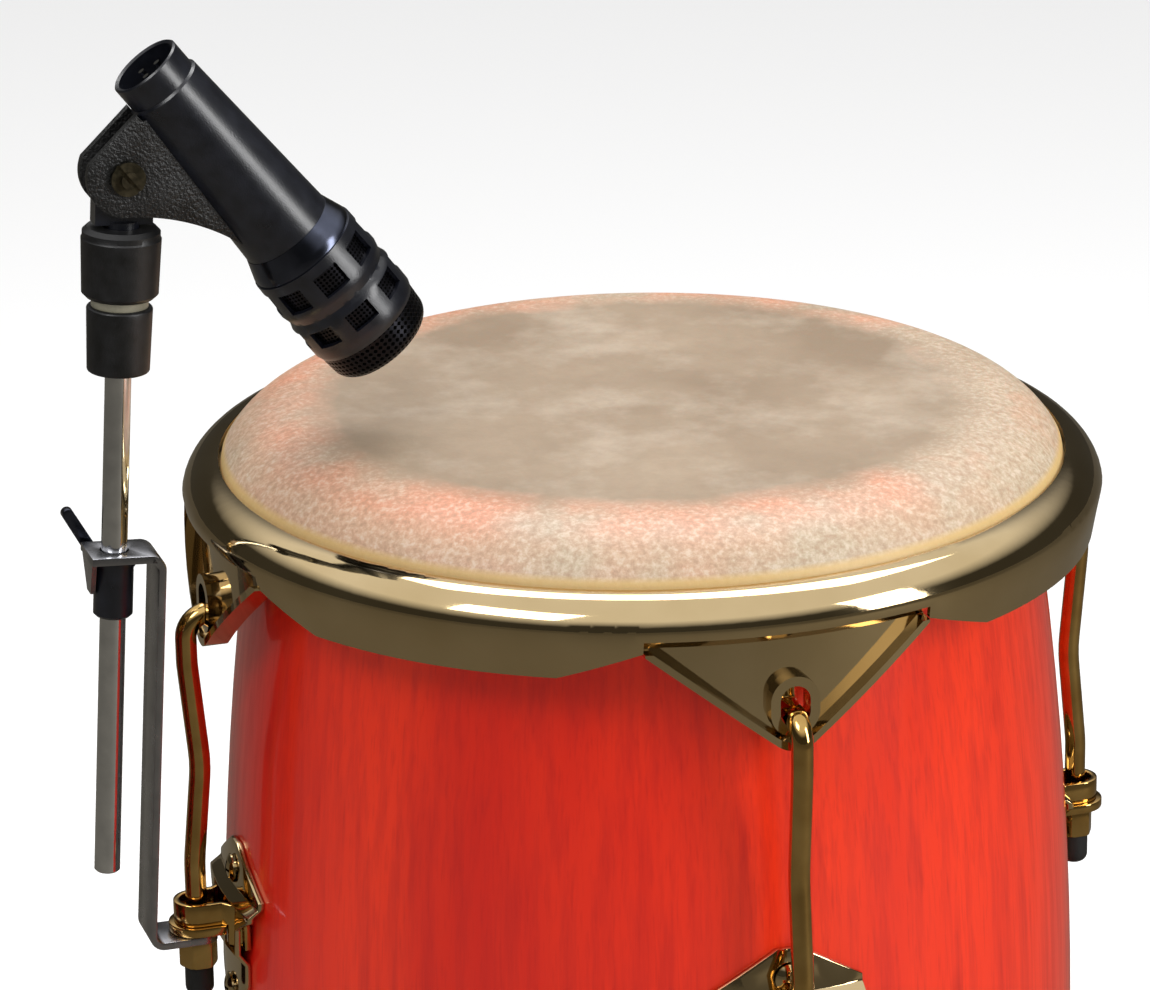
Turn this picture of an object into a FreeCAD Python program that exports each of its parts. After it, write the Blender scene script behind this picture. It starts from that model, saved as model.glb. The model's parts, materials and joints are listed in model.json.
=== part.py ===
# A tall barrel-shaped hand drum (conga) with four tuning lugs, and a small microphone
# that a flat bracket clamps to the left lug. Origin: centre of the foot, on the floor. +Z up.
# Lugs are built on the +X side of their own bodies, and each body's Placement turns them
# to their bearings: the front lug faces -Y, a little to +X.
import FreeCAD
import Part
import Sketcher
import math
import os
import re

Vector = FreeCAD.Vector

SIZES = {
    # whole drum
    "drumTop": 700.3, "headDrop": 17.3, "lugCount": 4, "frontBearing": 18,
    # shell
    "bellyRadius": 161.5, "bellyHeight": 445, "neckRadius": 141.9, "footRadius": 113,
    "shellWall": 11, "bearingRound": 14, "bearingGap": 0.9, "bearingFlat": 6, "staveCount": 20, "glueAngle": 0.06,
    "rubberFloor": 8, "rubberWall": 3, "footFlare": 0.22,
    # drumhead and flesh hoop
    "skin": 1.5, "flatRadius": 122.4, "crownRadius": 140.8, "crownDrop": 4, "crownRound": 44.2, "collarRound": 30.6,
    "collarRadius": 155, "hoopRadius": 160.6, "hoopDrop": 26.3, "hoopWire": 2.6, "fitGap": 0.2,
    # rim
    "rimInner": 156.4, "rimOuter": 170, "rimWall": 2.5, "rimTopDrop": 17.8, "rimWideDrop": 29.3,
    "rimCurl": 14, "bandRadius": 166.8, "bandFootDrop": 46.8, "earBandDrop": 32.3,
    # pressed ears of the rim
    "earInner": 161.1, "earLip": 8.7, "earHalf": 52, "windowTop": 52.3, "windowFoot": 82, "earSideDrop": 37.8, "earTipHalf": 7,
    "earTipDrop": 73.3, "earTipRound": 11.4, "collarHalf": 9, "eyeHalf": 5.5, "eyeStraight": 2,
    "eyeDrop": 59.8, "collarProud": 7.5,
    # tuning hooks, caps and nuts
    "rodRadius": 3.97, "lugRadius": 175.5, "rodFootDrop": 208.7, "bendFootDrop": 160.3,
    "waistRadius": 171.8, "waistDrop": 122.3, "bulgeRadius": 175.3, "bulgeDrop": 82.3, "hookDrop": 63.3,
    "hookTipRadius": 156.4, "hookTipDrop": 52.3, "capRadius": 5.35, "capLength": 11.5,
    "nutFlats": 12.7, "nutLength": 11.2, "threadGap": 0.05,
    # strap, saddle washer and side plate at each lug
    "strapTopDrop": 175.3, "strapTall": 16, "strapNotch": 8.4, "strapSheet": 2.3, "strapHalf": 8.6,
    "strapFlare": 15, "creaseRadius": 168, "strapBack": 159.8, "strapTab": 18.6,
    "saddleSheet": 3.6, "saddleHalf": 10.6, "saddleBack": 8.8, "plateSheet": 2.2, "plateTopDrop": 154.3,
    "plateHalf": 28.5, "shoulderDrop": 168.8, "waistlineDrop": 176.3, "tailHalf": 17,
    "tailDrop": 206.3, "peakHalf": 4, "plateProud": 4.1, "stepDrop": 181.3,
    "screwHighDrop": 165.3, "screwLowDrop": 212.8, "screwRadius": 2.4, "screwHead": 5.4,
    "screwHeadTall": 2.4, "washerRadius": 7, "washerSheet": 1.2, "screwNutFlats": 8, "screwNut": 4,
    # microphone bracket: a bent flat bar
    "clawSheet": 2.8, "clawHalf": 10, "clawInner": 169, "clawFootRadius": 196.1, "clawLean": 3.8,
    "clawTall": 152, "clawReach": 24.6, "clawBend": 3,
    # microphone rod and its clamp
    "rodCentre": 200.3, "rodBase": 665, "postRadius": 4.76, "postDown": 124.3, "postUp": 84,
    "clampRadius": 7.2, "clampLength": 21.5, "clampFlange": 7.8, "leverDrop": 12, "leverHub": 4,
    "leverLength": 26, "leverSheet": 4, "tongueDepth": 13,
    "gripBottom": 68, "gripTall": 24.2, "gripRadius": 11.9, "spacerRadius": 10.3, "spacerTall": 3.2,
    "knobRadius": 14.4, "knobTall": 26.2, "neckTop": 123.8, "swivelRadius": 6.3, "pivotHeight": 140.8,
    "lugThick": 8, "eyeRadius": 10.5, "pivotShaft": 3,
    # microphone, along its own axis from the socket's rim
    "micRearRadius": 180.8, "micRearHeight": 843.8, "micDip": 52.9, "pivotAlong": 24.9, "pivotBelow": 30.5,
    "socketOuter": 13.4, "socketInner": 11.6, "socketLength": 10, "tubeRear": 14.3, "tubeFront": 17.7,
    "tubeEnd": 81.5, "tubeWall": 2, "shoulderEnd": 91, "headRadius": 21.2, "headEnd": 128,
    "headWall": 1.6, "noseEnd": 140.5, "windowCount": 8, "cheekInner": 4.4, "cheekSheet": 3.6,
    "lobeRadius": 14.5, "capsuleRadius": 13,
}

doc = FreeCAD.newDocument("HandDrum")
sheet = doc.addObject("Spreadsheet::Sheet", "Sizes")
for row, (alias, value) in enumerate(SIZES.items(), start=1):
    sheet.set("A%d" % row, str(value))
    sheet.setAlias("A%d" % row, alias)
doc.recompute()

finished = {}


def cells(words):
    """An expression in which every size's name points at its cell."""
    def point(match):
        name = match.group()
        return "Sizes." + name if name in SIZES else name
    return re.sub(r"[A-Za-z]\w*", point, words)


def size(words):
    return float(sheet.evalExpression(cells(words)))


def plane_of(body, role):
    return [part for part in body.Origin.OriginFeatures if part.Role == role][0]


def new_body(name, bearing=None, placement=None):
    """A body of its own; a bearing turns its +X side to that direction of the drum."""
    body = doc.addObject("PartDesign::Body", name)
    body.Label = name
    body.AllowCompound = True
    if bearing is not None:
        turn = FreeCAD.Rotation(Vector(0, 0, 1), bearing - 90)
        body.Placement = FreeCAD.Placement(Vector(0, 0, 0), turn)
    if placement is not None:
        body.Placement = placement
    finished[name] = body
    return body


def new_sketch(body, plane, away=None):
    sketch = body.newObject("Sketcher::SketchObject", body.Name + "_sketch")
    sketch.AttachmentSupport = (plane_of(body, plane), [""])
    sketch.MapMode = "FlatFace"
    if away is not None:
        sketch.setExpression(".AttachmentOffset.Base.z", cells(away))
    return sketch


def bound(sketch, kind, *parts):
    """A sketch constraint whose value comes from the sheet; a zero coordinate sits on its axis."""
    words = parts[-1]
    value = size(words)
    if kind in ("DistanceX", "DistanceY") and abs(value) < 1e-9:
        axis = -2 if kind == "DistanceX" else -1
        sketch.addConstraint(Sketcher.Constraint("PointOnObject", parts[0], parts[1], axis))
        return
    index = sketch.addConstraint(Sketcher.Constraint(kind, *parts[:-1], value))
    sketch.setExpression("Constraints[%d]" % index, cells(words))


def arc_middle(start, end, radius):
    """Middle point of an arc that turns left for a positive radius and right for a negative one."""
    chord = end - start
    half = chord.Length / 2
    rise = abs(radius) - math.sqrt(radius * radius - half * half)
    right = Vector(chord.y, -chord.x, 0).normalize()
    return (start + end) * 0.5 + right * (rise if radius > 0 else -rise)


def add_outline(sketch, corners):
    """A closed outline. A third word at a corner is the radius of the arc that arrives there."""
    places = [Vector(size(corner[0]), size(corner[1]), 0) for corner in corners]
    ends = []
    for index, corner in enumerate(corners):
        start, end = places[index - 1], places[index]
        if len(corner) == 3:
            edge = Part.Arc(start, arc_middle(start, end, size(corner[2])), end)
        else:
            edge = Part.LineSegment(start, end)
        number = sketch.addGeometry(edge)
        forward = sketch.getPoint(number, 1).distanceToPoint(start) < 1e-6
        ends.append((number, 1, 2) if forward else (number, 2, 1))
    for index, corner in enumerate(corners):
        number, _, last = ends[index]
        following, first, _ = ends[(index + 1) % len(corners)]
        sketch.addConstraint(Sketcher.Constraint("Coincident", number, last, following, first))
        bound(sketch, "DistanceX", number, last, corner[0])
        bound(sketch, "DistanceY", number, last, corner[1])
        if len(corner) < 3:
            continue
        chord = places[index] - places[index - 1]
        if abs(abs(size(corner[2])) - chord.Length / 2) > 1e-6:
            bound(sketch, "Radius", number, corner[2].lstrip("-"))
        else:
            level = "Horizontal" if abs(chord.y) < 1e-6 else "Vertical"
            sketch.addConstraint(Sketcher.Constraint(level, number, 3, number, last))


def add_axis(sketch, start, end, up):
    """A level construction line that a piece can be turned about (the sketch's Axis0)."""
    ends = [Vector(size(start), size(up), 0), Vector(size(end), size(up), 0)]
    number = sketch.addGeometry(Part.LineSegment(*ends), True)
    for point, across in ((1, start), (2, end)):
        bound(sketch, "DistanceX", number, point, across)
        bound(sketch, "DistanceY", number, point, up)
    doc.recompute()


def add_circle(sketch, across, up, radius):
    centre = Vector(size(across), size(up), 0)
    number = sketch.addGeometry(Part.Circle(centre, Vector(0, 0, 1), size(radius)))
    bound(sketch, "DistanceX", number, 3, across)
    bound(sketch, "DistanceY", number, 3, up)
    bound(sketch, "Radius", number, radius)


def outline(body, plane, *shapes, away=None):
    """A sketch of closed outlines (lists of corners) and circles (tuples of three words)."""
    sketch = new_sketch(body, plane, away)
    for shape in shapes:
        if isinstance(shape, tuple):
            add_circle(sketch, *shape)
        else:
            add_outline(sketch, shape)
    doc.recompute()
    if sketch.Shape.isNull() or not sketch.Shape.Edges:
        raise RuntimeError("a sketch of %s has no outline" % body.Label)
    return sketch


def revolve(body, sketch, angle="360", cut=False, axis="V_Axis"):
    kind = "PartDesign::Groove" if cut else "PartDesign::Revolution"
    turn = body.newObject(kind, body.Name + "_turn")
    turn.Profile = sketch
    turn.ReferenceAxis = (sketch, [axis])
    turn.Midplane = True
    turn.setExpression("Angle", cells(angle))
    doc.recompute()
    return turn


def pad(body, sketch, length, centred=False):
    block = body.newObject("PartDesign::Pad", body.Name + "_pad")
    block.Profile = sketch
    block.setExpression("Length", cells(length))
    block.Midplane = centred
    doc.recompute()
    return block


def pocket(body, sketch, length=None):
    """A cut along the sketch's normal, through everything both ways or to a depth behind it."""
    before = body.Shape.Volume
    hole = body.newObject("PartDesign::Pocket", body.Name + "_pocket")
    hole.Profile = sketch
    if length is None:
        hole.Type = "ThroughAll"
        hole.Midplane = True
    else:
        hole.setExpression("Length", cells(length))
    doc.recompute()
    if body.Shape.Volume > before - 1e-3:
        raise RuntimeError("a pocket of %s cuts nothing" % body.Label)
    return hole


def fillet(body, edges, radius):
    if not edges:
        raise RuntimeError("no edge to round on " + body.Label)
    base = body.Tip
    edge_round = body.newObject("PartDesign::Fillet", body.Name + "_fillet")
    edge_round.Base = (base, edges)
    edge_round.setExpression("Radius", cells(radius))
    doc.recompute()
    return edge_round


def edges_where(body, test):
    return ["Edge%d" % number for number, edge in enumerate(body.Tip.Shape.Edges, start=1) if test(edge)]


def edges_at(body, corner):
    """Edges square to an XZ sketch, at one of its corners."""
    place = Vector(size(corner[0]), 0, size(corner[1]))
    return edges_where(body, lambda edge: edge.BoundBox.XLength < 0.01 and edge.BoundBox.ZLength < 0.01
                       and (edge.BoundBox.Center - place).Length < 0.05)


def around(body, count="lugCount"):
    """Repeats the whole body about its upright axis."""
    pattern = body.newObject("PartDesign::PolarPattern", body.Name + "_pattern")
    pattern.TransformMode = "Whole shape"
    pattern.Axis = (plane_of(body, "Z_Axis"), [""])
    pattern.Occurrences = int(size(count))
    body.Tip = pattern
    doc.recompute()
    return pattern


def box_outline(x_low, x_high, y_low, y_high):
    return [(x_low, y_low), (x_high, y_low), (x_high, y_high), (x_low, y_high)]


def turned(name, corners, placement=None, bearing=None):
    body = new_body(name, bearing, placement)
    revolve(body, outline(body, "XZ_Plane", corners))
    return body


def ring(name, inner, outer, low, high, placement):
    return turned(name, box_outline(inner, outer, low, high), placement)


# ---------------------------------------------------------------- shell and foot
def make_shell():
    """Bowed staves with glue lines between them; screw holes sit in the middle of a stave."""
    body = new_body("shell_staves", bearing=size("frontBearing"))
    lower = "((bellyHeight - rubberFloor)^2 + (bellyRadius - footRadius)^2) / (2 * (bellyRadius - footRadius))"
    top = "drumTop - skin - bearingGap"
    upper_rise = "(%s - bearingRound - bellyHeight)" % top
    upper = "(%s^2 + (bellyRadius - neckRadius)^2) / (2 * (bellyRadius - neckRadius))" % upper_rise
    inner_rise = "(%s - bearingFlat - bellyHeight)" % top
    inner_run = "(bellyRadius - shellWall - neckRadius + bearingRound)"
    inner = "-(%s^2 + %s^2) / (2 * %s)" % (inner_rise, inner_run, inner_run)
    corners = [
        ("footRadius - shellWall", "rubberFloor", "-" + lower),
        ("footRadius", "rubberFloor"),
        ("bellyRadius", "bellyHeight", lower),
        ("neckRadius", top + " - bearingRound", upper),
        ("neckRadius - bearingRound", top, "bearingRound"),
        ("neckRadius - bearingRound", top + " - bearingFlat"),
        ("bellyRadius - shellWall", "bellyHeight", inner),
    ]
    revolve(body, outline(body, "XZ_Plane", corners), "360 / staveCount - glueAngle")
    around(body, "staveCount")
    high = ("0", "drumTop - screwHighDrop", "screwRadius + fitGap")
    low = ("0", "drumTop - screwLowDrop", "screwRadius + fitGap")
    for plane in ("YZ_Plane", "XZ_Plane"):
        for away in ("bellyRadius + 5", "35 - bellyRadius"):
            pocket(body, outline(body, plane, high, low, away=away), "40")


def make_foot_rubber():
    """A flat ring of rubber under the foot of the shell, a little wider than the shell."""
    turned("foot_rubber", [
        ("footRadius - shellWall", "0"),
        ("footRadius + rubberWall", "0"),
        ("footRadius + rubberWall + rubberFloor * footFlare", "rubberFloor"),
        ("footRadius - shellWall", "rubberFloor"),
    ])


# ---------------------------------------------------------------- drumhead, hoop and rim
def make_head():
    """The playing skin: a flat disc rolled over the bearing edge, and its sloping collar."""
    turned("head_top", [
        ("0", "drumTop - skin"),
        ("flatRadius", "drumTop - skin"),
        ("crownRadius - 0.42 * skin", "drumTop - crownDrop - 0.91 * skin", "-(crownRound - skin)"),
        ("crownRadius", "drumTop - crownDrop"),
        ("flatRadius", "drumTop", "crownRound"),
        ("0", "drumTop"),
    ])
    turned("head_collar", [
        ("crownRadius - 0.42 * skin + 0.05", "drumTop - crownDrop - 0.91 * skin - 0.1"),
        ("collarRadius - skin", "drumTop - headDrop + fitGap", "-(collarRound - skin)"),
        ("collarRadius", "drumTop - headDrop + fitGap"),
        ("crownRadius + 0.05", "drumTop - crownDrop - 0.1", "collarRound"),
    ])


def make_skirt():
    """The hidden end of the skin, lapped under the flesh hoop and up its outer side."""
    turned("head_skirt", [
        ("collarRadius - skin", "drumTop - headDrop - fitGap"),
        ("hoopRadius - hoopWire - fitGap - skin", "drumTop - hoopDrop"),
        ("hoopRadius + hoopWire + fitGap + skin", "drumTop - hoopDrop", "hoopWire + fitGap + skin"),
        ("hoopRadius + hoopWire + fitGap", "drumTop - hoopDrop"),
        ("hoopRadius - hoopWire - fitGap", "drumTop - hoopDrop", "-(hoopWire + fitGap)"),
        ("collarRadius", "drumTop - headDrop - fitGap"),
    ])


def make_hoop():
    body = new_body("flesh_hoop")
    revolve(body, outline(body, "XZ_Plane", ("hoopRadius", "drumTop - hoopDrop", "hoopWire")))


def make_rim():
    """Curled ring with a plain band below it, opened where the four ears are set in."""
    body = new_body("rim_ring", bearing=size("frontBearing"))
    corners = [
        ("rimInner", "drumTop - rimTopDrop - rimWall", "rimCurl - rimWall"),
        ("rimInner", "drumTop - rimTopDrop"),
        ("rimOuter", "drumTop - rimWideDrop", "-rimCurl"),
        ("bandRadius", "drumTop - bandFootDrop"),
        ("bandRadius - rimWall", "drumTop - bandFootDrop"),
        ("rimOuter - rimWall", "drumTop - rimWideDrop"),
    ]
    revolve(body, outline(body, "XZ_Plane", corners))
    window = [
        ("-windowFoot", "drumTop - bandFootDrop - 1"), ("windowFoot", "drumTop - bandFootDrop - 1"),
        ("windowTop", "drumTop - earSideDrop + 1"), ("windowTop", "drumTop - earBandDrop"),
        ("-windowTop", "drumTop - earBandDrop"), ("-windowTop", "drumTop - earSideDrop + 1"),
    ]
    pocket(body, outline(body, "YZ_Plane", window))
    pocket(body, outline(body, "XZ_Plane", window))


def vee(inset):
    """Outline of an ear seen from outside: a wide V with a rounded point."""
    return [
        ("-earHalf + " + inset, "drumTop - earBandDrop + 4"),
        ("-earHalf + " + inset, "drumTop - earSideDrop + " + inset + " / 2"),
        ("-earTipHalf", "drumTop - earTipDrop + " + inset + " * 1.25"),
        ("earTipHalf", "drumTop - earTipDrop + " + inset + " * 1.25", "earTipRound"),
        ("earHalf - " + inset, "drumTop - earSideDrop + " + inset + " / 2"),
        ("earHalf - " + inset, "drumTop - earBandDrop + 4"),
    ]


def slot_outline(half, straight, up):
    """An upright rounded slot round a centre at y = 0."""
    return [
        ("-" + half, up + " - " + straight),
        (half, up + " - " + straight, half),
        (half, up + " + " + straight),
        ("-" + half, up + " + " + straight, half),
    ]


def make_ears():
    """Recessed V plates with an outward lip, a rolled eye collar and a shelf under the curl."""
    body = new_body("rim_ears", bearing=size("frontBearing"))
    spread = "2 * asin((earHalf + 3) / earInner)"
    frame = box_outline("-earHalf - 15", "earHalf + 15", "drumTop - earTipDrop - 9", "drumTop - earBandDrop + 6")
    lip = box_outline("earInner", "earInner + earLip", "drumTop - earTipDrop - 4", "drumTop - earSideDrop + 1")
    revolve(body, outline(body, "XZ_Plane", lip), spread)
    pocket(body, outline(body, "YZ_Plane", frame, vee("0")))
    pocket(body, outline(body, "YZ_Plane", vee("rimWall")))
    plate = [
        ("earInner", "drumTop - earTipDrop - 4"),
        ("earInner + rimWall", "drumTop - earTipDrop - 4"),
        ("earInner + rimWall", "drumTop - earBandDrop - 4"),
        ("rimOuter - rimWall - 0.8", "drumTop - earBandDrop - 1"),
        ("rimOuter - rimWall - 0.8", "drumTop - earBandDrop + 1"),
        ("earInner", "drumTop - earBandDrop + 1"),
    ]
    revolve(body, outline(body, "XZ_Plane", plate), spread)
    pocket(body, outline(body, "YZ_Plane", frame, vee("0")))
    collar = slot_outline("collarHalf", "eyeStraight", "drumTop - eyeDrop")
    pad(body, outline(body, "YZ_Plane", collar, away="earInner"), "collarProud")
    eye = slot_outline("eyeHalf", "eyeStraight", "drumTop - eyeDrop")
    cut = outline(body, "YZ_Plane", eye, away="earInner + collarProud")
    pocket(body, cut, "collarProud + 2")
    around(body)


# ---------------------------------------------------------------- hooks, caps and nuts
def rounded_path(points, radii):
    """Straight runs joined by tangent arcs at the inner points."""
    edges = []
    start = points[0]
    for corner, following, radius in zip(points[1:-1], points[2:], radii):
        arriving = (corner - start).normalize()
        leaving = (following - corner).normalize()
        half_turn = arriving.getAngle(leaving) / 2
        reach = radius * math.tan(half_turn)
        first = corner - arriving * reach
        last = corner + leaving * reach
        inward = (leaving - arriving).normalize()
        middle = corner + inward * (radius / math.cos(half_turn) - radius)
        edges.append(Part.LineSegment(start, first).toShape())
        edges.append(Part.Arc(first, middle, last).toShape())
        start = last
    edges.append(Part.LineSegment(start, points[-1]).toShape())
    return Part.Wire(edges)


def make_hooks():
    """Bent tuning rods: threaded foot, a gentle S, and a hook that enters the ear's eye."""
    stations = [
        ("lugRadius", "rodFootDrop"), ("lugRadius", "bendFootDrop"), ("waistRadius", "waistDrop"),
        ("bulgeRadius", "bulgeDrop"), ("bulgeRadius", "hookDrop"), ("hookTipRadius", "hookDrop"),
        ("hookTipRadius", "hookTipDrop"),
    ]
    points = [Vector(size(across), 0, size("drumTop - " + drop)) for across, drop in stations]
    spine = doc.addObject("Part::Feature", "hook_spine")
    spine.Shape = rounded_path(points, [60, 60, 40, 9, 4.6])
    section = doc.addObject("Part::Circle", "hook_section")
    section.setExpression("Radius", cells("rodRadius"))
    section.Placement = FreeCAD.Placement(points[0], FreeCAD.Rotation())
    sweep = doc.addObject("Part::Sweep", "hook_sweep")
    sweep.Sections = [section]
    sweep.Spine = (spine, ["Edge%d" % (index + 1) for index in range(len(spine.Shape.Edges))])
    sweep.Solid = True
    doc.recompute()
    body = new_body("tuning_hooks", bearing=size("frontBearing"))
    body.BaseFeature = sweep
    doc.recompute()
    around(body)


def at_lug(bearing, height):
    """Placement of a piece built round its own upright axis, on the rod of one lug."""
    turn = FreeCAD.Rotation(Vector(0, 0, 1), bearing - 90)
    return FreeCAD.Placement(turn.multVec(Vector(size("lugRadius"), 0, size(height))), turn)


LUG_BEARINGS = {"front": 0, "right": 90, "back": 180, "left": 270}
NUT_TOP = "drumTop - strapTopDrop - strapNotch - saddleSheet - fitGap"
CLAW_TOP = NUT_TOP


def make_caps():
    """Soft end caps pushed over the rods; the one under the bracket sits a sheet lower."""
    for lug, step in LUG_BEARINGS.items():
        lowered = "0 - clawSheet - fitGap" if lug == "left" else "0"
        top = "-nutLength - 2 * fitGap + " + lowered
        foot = top + " - capLength"
        turned("hook_cap_" + lug, [
            ("0", foot),
            ("capRadius - 2.5", foot),
            ("capRadius", foot + " + 3", "3.2"),
            ("capRadius", top),
            ("rodRadius + threadGap", top),
            ("rodRadius + threadGap", foot + " + 1.6"),
            ("0", foot + " + 1.6"),
        ], at_lug(size("frontBearing") + step, NUT_TOP))


def hexagon(flats, up="0"):
    half = flats + " / 2"
    corner = half + " / cos(30)"
    return [
        (corner, up), (corner + " / 2", up + " + " + half), ("0 - %s / 2" % corner, up + " + " + half),
        ("0 - " + corner, up), ("0 - %s / 2" % corner, up + " - " + half), (corner + " / 2", up + " - " + half),
    ]


def make_nuts():
    """Tall hexagon nuts with bevelled corners, one under each saddle washer."""
    for lug, step in LUG_BEARINGS.items():
        lowered = "0 - clawSheet - fitGap" if lug == "left" else "0"
        place = at_lug(size("frontBearing") + step, NUT_TOP + " + " + lowered)
        body = new_body("lug_nut_" + lug, placement=place)
        corner = "nutFlats / 2 / cos(30)"
        bore = ("0", "0", "rodRadius + threadGap")
        sketch = outline(body, "XY_Plane", hexagon("nutFlats"), bore, away="-nutLength")
        pad(body, sketch, "nutLength")
        bevel = [
            (corner + " + 1", "-nutLength - 1"), (corner + " + 1", "1.6 - nutLength"),
            ("nutFlats / 2 - 0.6", "-nutLength - 1"),
        ]
        revolve(body, outline(body, "XZ_Plane", bevel), cut=True)


# ---------------------------------------------------------------- straps, saddles and plates
def make_straps():
    """U straps: narrow round the rod, opened out to the plate, and notched for the saddle."""
    body = new_body("u_straps", bearing=size("frontBearing"))
    inner = "strapHalf - strapSheet"
    corners = [
        ("strapBack", "-strapTab"), ("strapBack + strapSheet", "-strapTab"),
        ("strapBack + strapSheet", "-strapFlare"), ("creaseRadius", "-strapHalf"),
        ("lugRadius", "-strapHalf"), ("lugRadius", "strapHalf", "strapHalf"),
        ("creaseRadius", "strapHalf"), ("strapBack + strapSheet", "strapFlare"),
        ("strapBack + strapSheet", "strapTab"), ("strapBack", "strapTab"),
        ("strapBack", "strapFlare - strapSheet"), ("creaseRadius", inner),
        ("lugRadius", inner), ("lugRadius", "0 - (%s)" % inner, "-(%s)" % inner),
        ("creaseRadius", "0 - (%s)" % inner), ("strapBack", "strapSheet - strapFlare"),
    ]
    base = "drumTop - strapTopDrop - strapTall"
    pad(body, outline(body, "XY_Plane", corners, away=base), "strapTall")
    notch = box_outline("lugRadius - saddleBack - 0.4", "lugRadius + 20", base + " - 1",
                        "drumTop - strapTopDrop - strapNotch")
    pocket(body, outline(body, "XZ_Plane", notch))
    around(body)


def make_saddles():
    """Thick washers, square towards the shell and round outside, under each strap."""
    body = new_body("saddle_washers", bearing=size("frontBearing"))
    corners = [
        ("lugRadius - saddleBack", "-saddleHalf"), ("lugRadius", "-saddleHalf"),
        ("lugRadius", "saddleHalf", "saddleHalf"), ("lugRadius - saddleBack", "saddleHalf"),
    ]
    hole = ("lugRadius", "0", "rodRadius + 0.45")
    base = "drumTop - strapTopDrop - strapNotch - saddleSheet"
    pad(body, outline(body, "XY_Plane", corners, hole, away=base), "saddleSheet - 0.05")
    around(body)


def shell_radius(drop):
    """Outer radius of the shell above the belly, at a drop below the drum's top."""
    rise = "(drumTop - skin - bearingGap - bearingRound - bellyHeight)"
    bow = "(%s^2 + (bellyRadius - neckRadius)^2) / (2 * (bellyRadius - neckRadius))" % rise
    return "(bellyRadius - (drumTop - (%s) - bellyHeight)^2 / (2 * (%s)))" % (drop, bow)


def make_plates():
    """Side plates: gable top, wide shoulders, rounded tail, proud of the shell at the strap."""
    body = new_body("side_plates", bearing=size("frontBearing"))
    profile = [
        ("plateTopDrop - 3", "fitGap"), ("strapTopDrop - 4", "fitGap"),
        ("strapTopDrop - 1", "plateProud"), ("strapTopDrop + strapTall + 2", "plateProud"),
        ("strapTopDrop + strapTall + 7", "fitGap"), ("tailDrop + 20", "fitGap"),
    ]
    inner = [(shell_radius(drop) + " + " + proud, "drumTop - (%s)" % drop) for drop, proud in profile]
    outer = [(across + " + plateSheet", up) for across, up in reversed(inner)]
    revolve(body, outline(body, "XZ_Plane", inner + outer), "2 * asin((plateHalf + 6) / bellyRadius)")
    house = [
        ("-peakHalf", "drumTop - plateTopDrop"),
        ("-plateHalf", "drumTop - shoulderDrop"),
        ("-plateHalf", "drumTop - waistlineDrop"),
        ("-tailHalf", "drumTop - stepDrop - 2"),
        ("-tailHalf", "drumTop - tailDrop"),
        ("tailHalf", "drumTop - tailDrop", "tailHalf + 0.5"),
        ("tailHalf", "drumTop - stepDrop - 2"),
        ("plateHalf", "drumTop - waistlineDrop"),
        ("plateHalf", "drumTop - shoulderDrop"),
        ("peakHalf", "drumTop - plateTopDrop"),
    ]
    frame = box_outline("-plateHalf - 14", "plateHalf + 14", "drumTop - tailDrop - 40", "drumTop - plateTopDrop + 14")
    pocket(body, outline(body, "YZ_Plane", frame, house))
    slots = []
    for side in ("", "0 - "):
        near, far = side + "(strapFlare - strapSheet - 5.6)", side + "(strapFlare + 0.6)"
        low, high = sorted((near, far), key=size)
        slots.append(box_outline(low, high, "drumTop - strapTopDrop - strapTall - 0.4", "drumTop - strapTopDrop + 0.4"))
    pocket(body, outline(body, "YZ_Plane", *slots))
    high = ("0", "drumTop - screwHighDrop", "screwRadius + fitGap")
    low = ("0", "drumTop - screwLowDrop", "screwRadius + fitGap")
    pocket(body, outline(body, "YZ_Plane", high, low))
    around(body)


SCREW_DROPS = {"upper": "screwHighDrop", "lower": "screwLowDrop"}


def make_screws():
    """Oval-headed cross screws through plate and shell, with washers and nuts inside."""
    for row, drop in SCREW_DROPS.items():
        up = "drumTop - " + drop
        seat = shell_radius(drop) + " + fitGap + plateSheet + 0.4"
        inside = shell_radius(drop) + " - shellWall - 0.9"
        point = inside + " - washerSheet - screwNut - 2"
        front = seat + " + screwHeadTall"
        dome = "((screwHeadTall - 0.6)^2 + screwHead^2) / (2 * (screwHeadTall - 0.6))"
        screws = new_body("plate_screws_" + row, bearing=size("frontBearing"))
        profile = outline(screws, "XZ_Plane", [
            (point, up), (front, up), (seat + " + 0.6", up + " + screwHead", dome),
            (seat, up + " + screwHead"), (seat, up + " + screwRadius"), (point, up + " + screwRadius"),
        ])
        add_axis(profile, point, seat, up)
        revolve(screws, profile, axis="Axis0")
        for across, tall in (("3.2", "0.55"), ("0.55", "3.2")):
            cross = box_outline("-" + across, across, up + " - " + tall, up + " + " + tall)
            pocket(screws, outline(screws, "YZ_Plane", cross, away=front), "1.5")
        bore = ("0", up, "screwRadius + 0.1")
        washers = new_body("screw_washers_" + row, bearing=size("frontBearing"))
        disc = outline(washers, "YZ_Plane", ("0", up, "washerRadius"), bore, away=inside + " - washerSheet")
        pad(washers, disc, "washerSheet")
        nuts = new_body("screw_nuts_" + row, bearing=size("frontBearing"))
        away = inside + " - washerSheet - screwNut - 0.1"
        pad(nuts, outline(nuts, "YZ_Plane", hexagon("screwNutFlats", up), bore, away=away), "screwNut")
        for body in (screws, washers, nuts):
            around(body)


# ---------------------------------------------------------------- microphone bracket and rod
LEFT = size("frontBearing") + LUG_BEARINGS["left"]


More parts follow.
